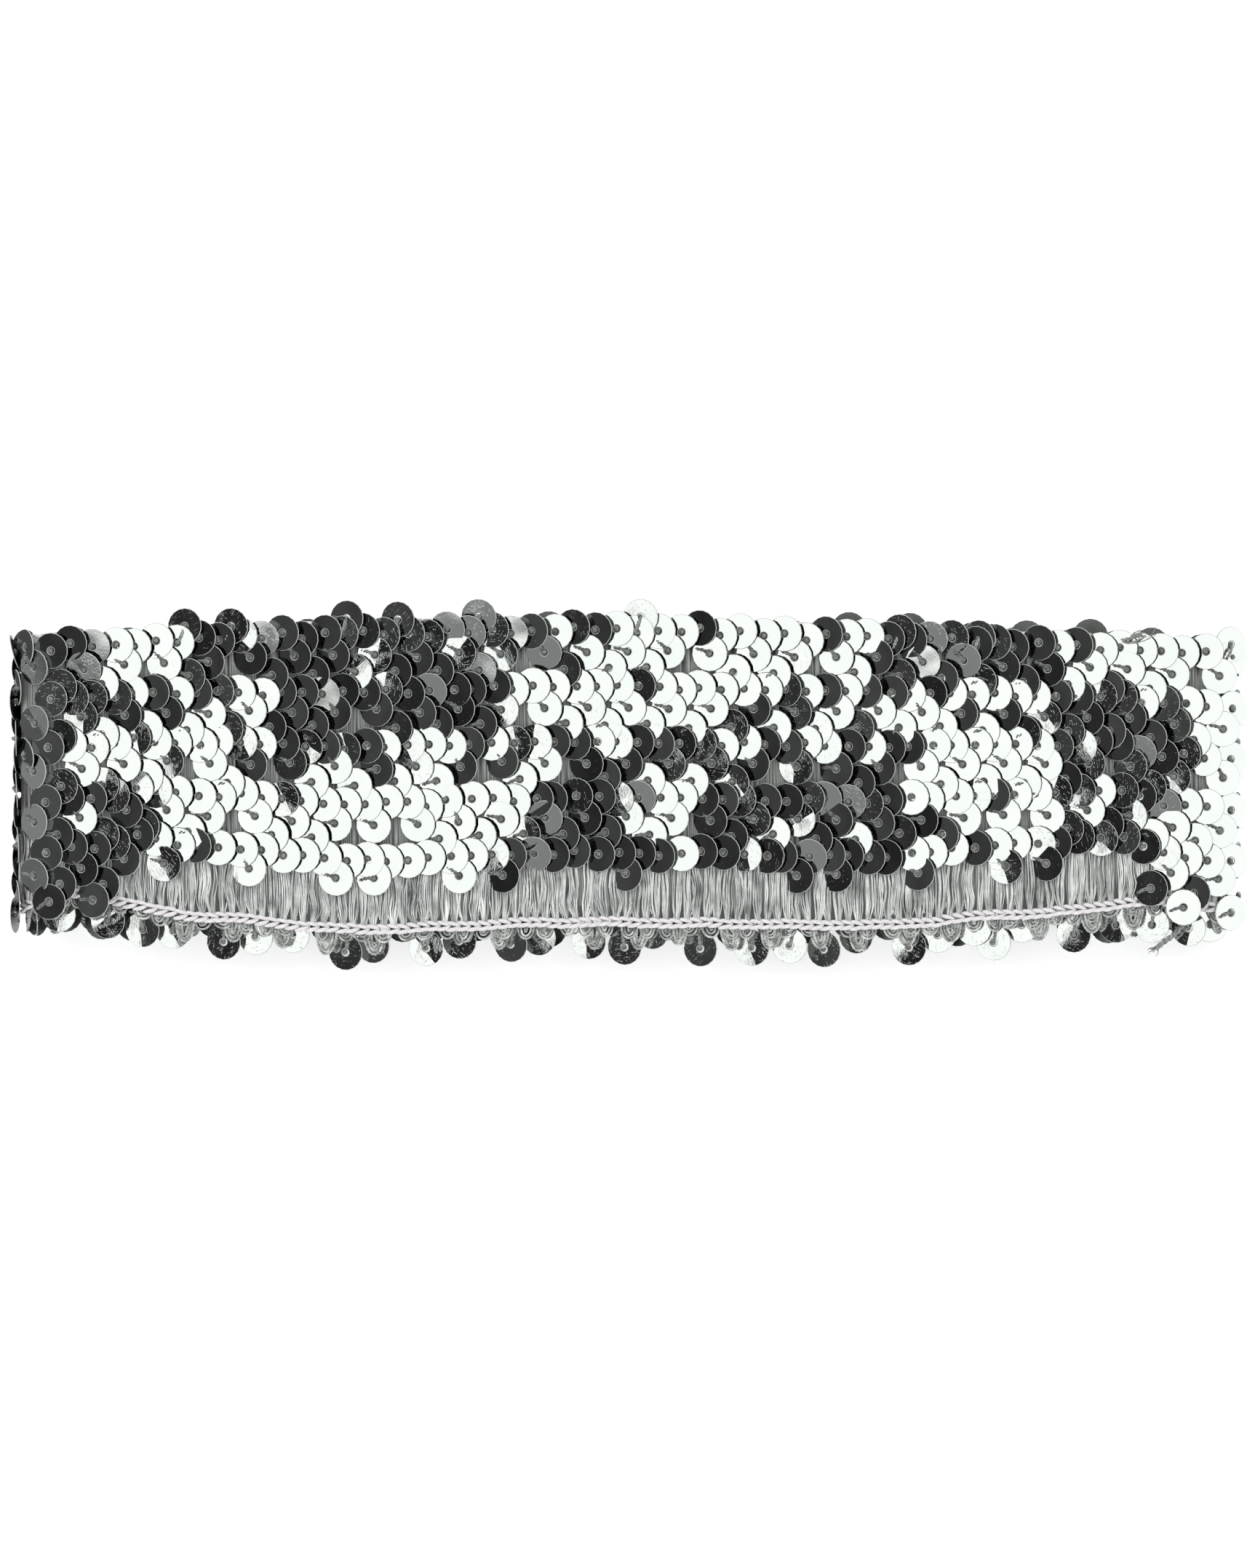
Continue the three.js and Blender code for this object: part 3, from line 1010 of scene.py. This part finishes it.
def row_sequins(row, rng):
    """A zigzag row: a line of sequins, with every second gap filled from one step or two steps lower."""
    line_count = 2 * PAIR_COUNT
    line = (np.arange(line_count) + rng.normal(0, LINE_JITTER, line_count)) / line_count
    pairs = np.arange(PAIR_COUNT)
    first = (pairs + 0.25 + rng.normal(0, DROPPED_JITTER, PAIR_COUNT)) / PAIR_COUNT
    second = (pairs + 0.73 + rng.normal(0, DROPPED_JITTER, PAIR_COUNT)) / PAIR_COUNT
    is_bald = np.abs(line - BALD_SHARE) <= BALD_REACH
    line = line[~is_bald | (rng.uniform(0, 1, len(line)) > 1 - BALD_KEPT)]
    kept = rng.uniform(0, 1, (2, PAIR_COUNT))
    third = first[:0]
    if row == ROW_COUNT - 1:
        third = (pairs + 0.5)[end_cover((pairs + 0.5) / PAIR_COUNT) > 0.99] / PAIR_COUNT
        first = first[(kept[0] < FIRST_KEPT) | (end_cover(first) > 0.3)]
        second = second[end_cover(second) > 0.5]
    else:
        second = second[kept[1] < SECOND_KEPT]
    steps = ((line, 0), (first, FIRST_STEP), (second, SECOND_STEP), (third, THIRD_STEP))
    shares = np.concatenate([part for part, _ in steps])
    drop = np.concatenate([np.full(len(part), step) for part, step in steps])
    across = row_line(row, shares) - drop + rng.normal(0, ACROSS_JITTER, len(shares))
    if row == 0:
        across[: len(line) : 2] += TOP_ZIGZAG
    kinds, wear = drawn_kinds(ROW_RUNS[row], loop.flat_point(shares)[:, 0], rng)
    sequins = Sequins(shares, across, kinds, wear, rng, drop > 0)
    sequins.tail_turn = np.where(drop > FIRST_STEP, 20, -25)
    return sequins


def knots_and_tails():
    """The yarn that comes up through a sequin's hole, alone and with its way over the rim to the left."""
    bpy.ops.object.select_all(action="DESELECT")
    bpy.ops.mesh.primitive_uv_sphere_add(segments=8, ring_count=5, radius=KNOT_RADIUS * MM)
    bpy.ops.transform.resize(value=(1.0, 1.0, 0.85))
    bpy.ops.object.transform_apply(location=True, rotation=True, scale=True)
    knot = Template.from_object(bpy.context.object)
    knot.points[:, 2] += 0.02
    knot.points[:, 0] -= 0.06
    t = np.linspace(0, 1, 6)
    rise = np.sin(np.clip(t * 1.4, 0, 1) * math.pi) ** 0.7
    route = np.column_stack([-TAIL_LENGTH * t, 0.15 * np.sin(t * 3), 0.34 * rise + 0.1 * (1 - t)])
    return {"_knots": knot, "_tails": knot.joined([plied(route, TAIL_RADIUS, 1.3)])}


def turned_in_plane(frames, angles):
    """Frames turned about their own outward direction, in degrees."""
    a = np.radians(angles)
    turn = np.zeros((len(a), 3, 3))
    turn[:, 0, 0] = turn[:, 1, 1] = np.cos(a)
    turn[:, 1, 0], turn[:, 0, 1] = np.sin(a), -np.sin(a)
    turn[:, 2, 2] = 1
    return np.einsum("nij,njk->nik", frames, turn)


class Stock:
    """What all sets of sequins are made from: their discs, the knots in them and the two materials."""

    def __init__(self):
        self.film = sequin_film()
        # The yarn of the knots and tails is a darker copy of the sewing yarn: painted shade of the holes the
        # knots sit in.
        self.shaded_knot_yarn = twine("shaded_knot_yarn", (0.03, 0.031, 0.03), (0.26, 0.27, 0.26), 2.0)
        self.discs = {
            "": sequin(),
            "_creased_up": sequin(CREASE_ANGLE),
            "_creased_down": sequin(-CREASE_ANGLE),
        }
        self.knots = knots_and_tails()


def add_sequins(name, sequins, stock, rng, replaced=()):
    """A set's sequins, flat and creased, and the yarn in their holes, each kind as one joined piece."""
    centres, frames = sequins.placed()
    count = len(centres)
    is_creased = sequins.bend > 0
    folds_up = rng.uniform(0, 1, count) < 0.5
    roll = rng.uniform(-60, 60, count) + np.where(rng.uniform(0, 1, count) < 0.5, 180, 0)
    rolled = turned_in_plane(frames, np.where(is_creased, roll, rng.uniform(0, 360, count)))
    for label, which in (
        ("", ~is_creased),
        ("_creased_up", is_creased & folds_up),
        ("_creased_down", is_creased & ~folds_up),
    ):
        if which.any():
            marks = {"wear": sequins.wear[which], "bend": sequins.bend[which]}
            places = centres[which], rolled[which]
            mesh = spread(name + label, stock.discs[label], *places, rng, marks, smooth=False)
            finish_piece(name + label, mesh, stock.film, () if label else replaced)
    tails = sequins.is_tailed
    turned = turned_in_plane(frames, sequins.tail_turn + rng.normal(0, 16, count))
    for label, which in (("_knots", ~tails), ("_tails", tails)):
        if which.any():
            mesh = spread(name + label, stock.knots[label], centres[which], turned[which], rng)
            finish_piece(name + label, mesh, stock.shaded_knot_yarn)


# The loose sequins and the yarn along the edges.

LOWER_HANGER_PITCH = 5.4
UPPER_HANGER_PITCH = 8.7
HANGER_YARN_RADIUS = 0.26

# The loops of floss and those of yarn: pitch, width, depth, radius and how many of them are there.
LOOP_SIZES = [
    (2.9, 2.2, 1.6, 0.16, 0.95),
    (6.4, 2.7, 3.1, 0.24, 0.85),
]
YARN_LOOP_DEPTH = 2
STRANDS_PER_LOOP = 3
LOOP_STRAND_PITCH = 0.46
LOOP_START = 0.35  # how far in from the edge
LOOP_OUT = -0.25


def hidden_hangers(pitch, share_kept, rng):
    """Places under the band, which the photograph doesn't show."""
    shares = (np.arange(round(loop.length / pitch)) + 0.5) * pitch / loop.length
    shares = shares + rng.normal(0, 0.3, len(shares)) / loop.length
    return shares[is_on_table(shares) & (rng.uniform(0, 1, len(shares)) < share_kept)]


def hanging_sequins(stock, yarn):
    """Loose sequins past both edges, each on its own end of yarn."""
    rng = np.random.default_rng(51)
    under_lower = hidden_hangers(LOWER_HANGER_PITCH, 0.9, rng)
    under_upper = hidden_hangers(UPPER_HANGER_PITCH, 0.7, rng)
    t = np.linspace(0, 1, 6)
    parts = []
    for name, hangers, hidden in (
        ("edge_hangers", LOWER_HANGERS, under_lower),
        ("top_hangers", UPPER_HANGERS, under_upper),
    ):
        is_lower = hangers is LOWER_HANGERS
        seen = share_above(np.array([hanger[0] for hanger in hangers]))
        shares = np.concatenate([seen, hidden])
        past = np.concatenate([[hanger[1] for hanger in hangers], rng.uniform(0.6, 2.2, len(hidden))])
        kinds = np.array([hanger[2] for hanger in hangers] + ["dark"] * len(hidden))
        across = lower_edge(shares) + CHAIN_WIDTH / 2 - past if is_lower else row_line(0, shares) + past
        wear = rng.uniform(0.2, 0.9, len(shares))
        sequins = Sequins(shares, across, kinds, wear, rng, np.zeros(len(shares), bool))
        if is_lower:
            sequins.out = np.where(is_on_table(shares), -0.9, -1.1) + rng.uniform(-0.15, 0.15, len(shares))
        add_sequins(name, sequins, stock, rng, ["edge_sequins"] if is_lower else ())
        for share, start, out in zip(shares, across, sequins.out):
            run = rng.uniform(-0.8, 0.8) * t if is_lower else -0.9 * t
            end = lower_edge(share) + 0.5 if is_lower else start - 2.4
            lift = out + 0.12 + 0.35 * np.sin(t * math.pi)
            places = loop.places(share + run / loop.length, start + (end - start) * t, lift)
            parts.append(plied(places, HANGER_YARN_RADIUS, 1.1, 5, rng.uniform(0, 6)))
    finish_piece("hanger_yarn", joined_mesh("hanger_yarn", parts), yarn)


def edge_loops():
    """The floss and the sewing yarn turn back in small loops under the lower chain."""
    rng = np.random.default_rng(61)
    parts = []

    def hang(share, width, depth, radius):
        t = np.linspace(0, 1, 10)
        lean = rng.uniform(-0.3, 0.3)
        for strand in range(STRANDS_PER_LOOP):
            inset = LOOP_STRAND_PITCH * strand + rng.uniform(-0.08, 0.08)
            run = -(width / 2 - inset) * np.cos(t * math.pi) + lean * np.sin(t * math.pi)
            down = (depth - inset) * np.sin(t * math.pi) ** 0.85
            shares = share + run / loop.length
            lift = LOOP_OUT + rng.uniform(-0.12, 0.12) + 0.2 * np.sin(t * math.pi)
            places = loop.places(shares, lower_edge(shares) + LOOP_START - down, lift)
            if depth > YARN_LOOP_DEPTH:
                parts.append(plied(places, radius, 0.9, 4, rng.uniform(0, 6)))
            else:
                parts.append(tube(places, radius, 5))

    for pitch, width, depth, radius, share_kept in LOOP_SIZES:
        total = round(loop.length / pitch)
        for k in range(total):
            if rng.uniform() > share_kept:
                continue
            share = (k + 0.5 + rng.uniform(-0.12, 0.12)) / total
            hang(share, width + rng.uniform(-0.2, 0.3), depth + rng.uniform(-0.35, 0.45), radius)
    # The pale stop is painted sheen on the loops.
    material = twine("edge_loops", (0.05, 0.052, 0.05), (0.78, 0.8, 0.78), 1.6)
    finish_piece("edge_loops", joined_mesh("edge_loops", parts), material)


# The joined ends.

RIDGE_STITCH_PITCH = 1.3
RIDGE_STITCH_RADIUS = 0.17

# The frayed end's way, right of the band's middle and up from it, and where the tuft grows.
FRAYED_END = [(79.0, -18.6), (79.9, -20.6), (79.7, -22.2), (78.3, -23.7), (77.2, -24.4), (75.9, -25.5)]
FRAYED_RADIUS = 0.42
TUFT_ROOT = (71.2, 18.6)
TUFT_OUT = 3.5


def join_ridge(yarn):
    """The joined ends on the inside: a soft ridge, overcast with thread."""
    low, high = (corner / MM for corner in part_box("join_seam"))
    bpy.ops.object.select_all(action="DESELECT")
    bpy.ops.mesh.primitive_cube_add(size=MM, location=((low + high) / 2 * MM))
    ridge = bpy.context.object
    bpy.ops.transform.resize(value=tuple(high - low))
    bpy.ops.object.transform_apply(location=True, rotation=True, scale=True)
    bpy.ops.object.mode_set(mode="EDIT")
    bpy.ops.mesh.select_all(action="SELECT")
    bpy.ops.mesh.subdivide(number_cuts=3)
    bpy.ops.object.mode_set(mode="OBJECT")
    bpy.ops.object.modifier_add(type="SUBSURF")
    rounding = ridge.modifiers[0]
    rounding.levels = rounding.render_levels = 3
    bpy.ops.object.modifier_apply(modifier=rounding.name)
    for vertex in ridge.data.vertices:
        along = vertex.co.y / MM
        vertex.co.z += 0.1 * MM * math.sin(along * 3.9) * math.cos(vertex.co.x / MM * 2)
        vertex.co.x += 0.16 * MM * math.sin(along * 1.3)
    mesh = own_mesh(ridge, "join_ridge")
    mesh.uv_layers.remove(mesh.uv_layers[0])
    corners = np.array([mesh.vertices[corner.vertex_index].co[:2] for corner in mesh.loops]) / MM
    mesh.uv_layers.new(name="UVMap").data.foreach_set("uv", corners[:, ::-1].ravel())
    # The ridge's floss strands carry painted sheen and painted shade.
    material = floss("join_ridge", (0.16, 0.165, 0.16), (0.5, 0.515, 0.5))
    finish_piece("join_ridge", mesh, material, ["join_seam"])
    rng = np.random.default_rng(71)
    t = np.linspace(0, 1, 9)
    stitches = []
    for start in np.arange(low.y + 0.6, high.y - 1.2, RIDGE_STITCH_PITCH):
        slant = 0.9 + rng.uniform(-0.15, 0.15)
        route = np.column_stack([
            low.x - 0.1 + (high.x - low.x + 0.2) * t,
            start + slant * t,
            high.z - 0.15 - (high.z - low.z + 0.05) * np.sin(t * math.pi) ** 0.35,
        ])
        stitches.append(tube(route, RIDGE_STITCH_RADIUS, 6, rng.uniform(0, 6)))
    finish_piece("join_stitches", joined_mesh("join_stitches", stitches), yarn)


def loose_ends(yarn):
    """A frayed end of yarn below the join and a tuft of floss above it."""
    rng = np.random.default_rng(81)
    t = np.linspace(0, len(FRAYED_END) - 1, 14)
    right, up = (np.interp(t, np.arange(len(FRAYED_END)), np.array(FRAYED_END)[:, k]) for k in (0, 1))
    tail = loop.places(share_above(right), up, -0.5 - 0.06 * t)
    parts = [plied(tail, FRAYED_RADIUS, 1.6, 6)]
    step = np.linspace(0, 1, 5)[:, None]

    def wisp(start, angle, length, radius):
        way = np.array([math.cos(angle), math.sin(angle), rng.uniform(-0.15, 0.15)]) * length
        swing = np.array([-way[1], way[0], 0]) * rng.uniform(-0.25, 0.25)
        thin = radius * (1 - 0.7 * step.ravel())
        parts.append(tube(start + way * step + swing * np.sin(step * math.pi), thin, 4))

    for _ in range(12):
        start = tail[-1] + rng.normal(0, 0.12, 3)
        wisp(start, math.radians(rng.uniform(175, 265)), rng.uniform(0.5, 1.3), 0.09)
    root = loop.places([share_above(TUFT_ROOT[0])], [TUFT_ROOT[1]], [TUFT_OUT])[0]
    for k in range(13):
        start = root + np.array([rng.uniform(-0.4, 1.0), rng.uniform(-0.4, 0.3), rng.uniform(-0.2, 0.2)])
        wisp(start, math.radians(rng.normal(24, 9)), rng.uniform(1.6, 3.2) if k else 5.2, 0.14 if k else 0.08)
    finish_piece("loose_ends", joined_mesh("loose_ends", parts), yarn)


# The picture.


def world_light():
    """A soft dome. The mirror film sees it bright on the right, up to a line left of overhead, with a grey
    card in front, and dark on the left, with two low panels, one in front and one behind."""
    world = bpy.data.worlds.new("studio")
    bpy.context.scene.world = world
    world.cycles.sampling_method = "NONE"
    shader = Shader(world)
    direction = shader.node("ShaderNodeTexCoord", None, None, "Generated")
    split = shader.node("ShaderNodeSeparateXYZ", None, {"Vector": direction}).socket.node
    x, y, z = (Value(shader.tree, split.outputs[k]) for k in range(3))
    height = z.math("MAXIMUM", z, 0.02)
    left = 0 - x / height
    near = 0 - y / height
    bright = 1 - left.rise(0.68, 0.7)
    card = left.between(-0.35, 0.75, 0.03) * near.between(0.42, 0.85, 0.03)
    dark = 0.015 + 0.055 * left.rise(0.8, 1.2) + 0.14 * left.rise(2.5, 7)
    side_panel = left.between(1.2, 2.2, 0.05) * near.size().between(0.6, 1.4, 0.05)
    glossy = dark + bright * (1.02 - 0.82 * card) + 0.95 * side_panel
    is_glossy = shader.node("ShaderNodeLightPath", None, None, "Is Glossy Ray")
    strength = is_glossy * glossy + (1 - is_glossy) * 1.12
    dome = {"Color": (0.985, 1.0, 0.99, 1), "Strength": strength}
    background = shader.node("ShaderNodeBackground", None, dome)
    shader.node("ShaderNodeOutputWorld", None, {"Surface": background})


def floor():
    """A pale floor. Past the left fold the mirror film sees it dark, as the room on that side is."""
    bpy.ops.object.select_all(action="DESELECT")
    bpy.ops.mesh.primitive_plane_add(size=6, location=(0, 0, 0))
    plane = bpy.context.object
    plane.name = "floor"
    material = bpy.data.materials.new("pale_floor")
    shader = Shader(material)
    place = shader.node("ShaderNodeTexCoord", None, None, "Object")
    grain = shader.noise(place, 900.0, 2.0)
    colour = shader.ramp(grain, (0.3, (0.8, 0.804, 0.8)), (0.7, (0.83, 0.832, 0.83)))
    pale = shader.node("ShaderNodeBsdfPrincipled", None, {
        "Base Color": colour,
        "Roughness": 0.9,
        "Emission Color": (1, 1, 1, 1),
        "Emission Strength": 0.35,
    })
    shaded = shader.node("ShaderNodeEmission", None, {"Color": (0.06, 0.06, 0.06, 1)})
    split = shader.node("ShaderNodeSeparateXYZ", None, {"Vector": place})
    left_fold = -LYING_LENGTH / 2 * MM
    is_left = 1 - split.rise(left_fold - 0.004, left_fold)
    is_glossy = shader.node("ShaderNodeLightPath", None, None, "Is Glossy Ray")
    mixed = shader.node("ShaderNodeMixShader", None, {0: is_glossy * is_left, 1: pale, 2: shaded})
    shader.node("ShaderNodeOutputMaterial", None, {"Surface": mixed})
    plane.data.materials.append(material)


def camera():
    """Straight above, at the height where the band's top has the photograph's pixels for each millimetre."""
    lens = bpy.data.cameras.new("camera")
    lens.lens = LENS
    lens.sensor_width = SENSOR
    view = bpy.data.objects.new("camera", lens)
    bpy.context.scene.collection.objects.link(view)
    top = cad_box[1].z
    tall = FRAME_HEIGHT / PIXELS_PER_MM * MM
    middle_x = (FRAME_WIDTH / 2 - MIDDLE_PIXEL[0]) / PIXELS_PER_MM + loop.shift[0]
    middle_y = (MIDDLE_PIXEL[1] - FRAME_HEIGHT / 2) / PIXELS_PER_MM + loop.shift[1]
    view.location = (middle_x * MM, middle_y * MM, top + tall * LENS / SENSOR)
    bpy.context.scene.camera = view


def key_light():
    """A broad soft lamp over the left shoulder, which the mirror film doesn't see."""
    lamp = bpy.data.lights.new("key", "AREA")
    lamp.size = 0.5
    lamp.energy = 2
    light = bpy.data.objects.new("key", lamp)
    light.location = (-0.55, 0.45, 0.8)
    light.rotation_euler = (math.radians(-30), math.radians(-33), 0)
    light.visible_glossy = False
    bpy.context.scene.collection.objects.link(light)


bpy.context.scene.view_settings.view_transform = "Standard"
camera()
world_light()
key_light()
floor()

stock = Stock()
sewing_yarn = twine("sewing_yarn", (0.08, 0.083, 0.08), (0.42, 0.43, 0.42), 3.0)
chain_yarn = twine("chain_yarn", (0.62, 0.595, 0.605), (0.83, 0.805, 0.815), 4.0)

knit_floss()
margin_fibres()
chain_stitch("upper_chain_stitch", upper_edge, -1, chain_yarn, ["upper_edge_chain"])
chain_stitch("lower_chain_stitch", lower_edge, 1, chain_yarn, ["lower_edge_chain"])
for row in range(ROW_COUNT):
    rng = np.random.default_rng((5, row))
    sequins = row_sequins(row, rng)
    add_sequins(f"sequins_row_{row + 1}", sequins, stock, rng, [f"sequin_row_{row + 1}"])
hanging_sequins(stock, sewing_yarn)
edge_loops()
join_ridge(sewing_yarn)
loose_ends(sewing_yarn)
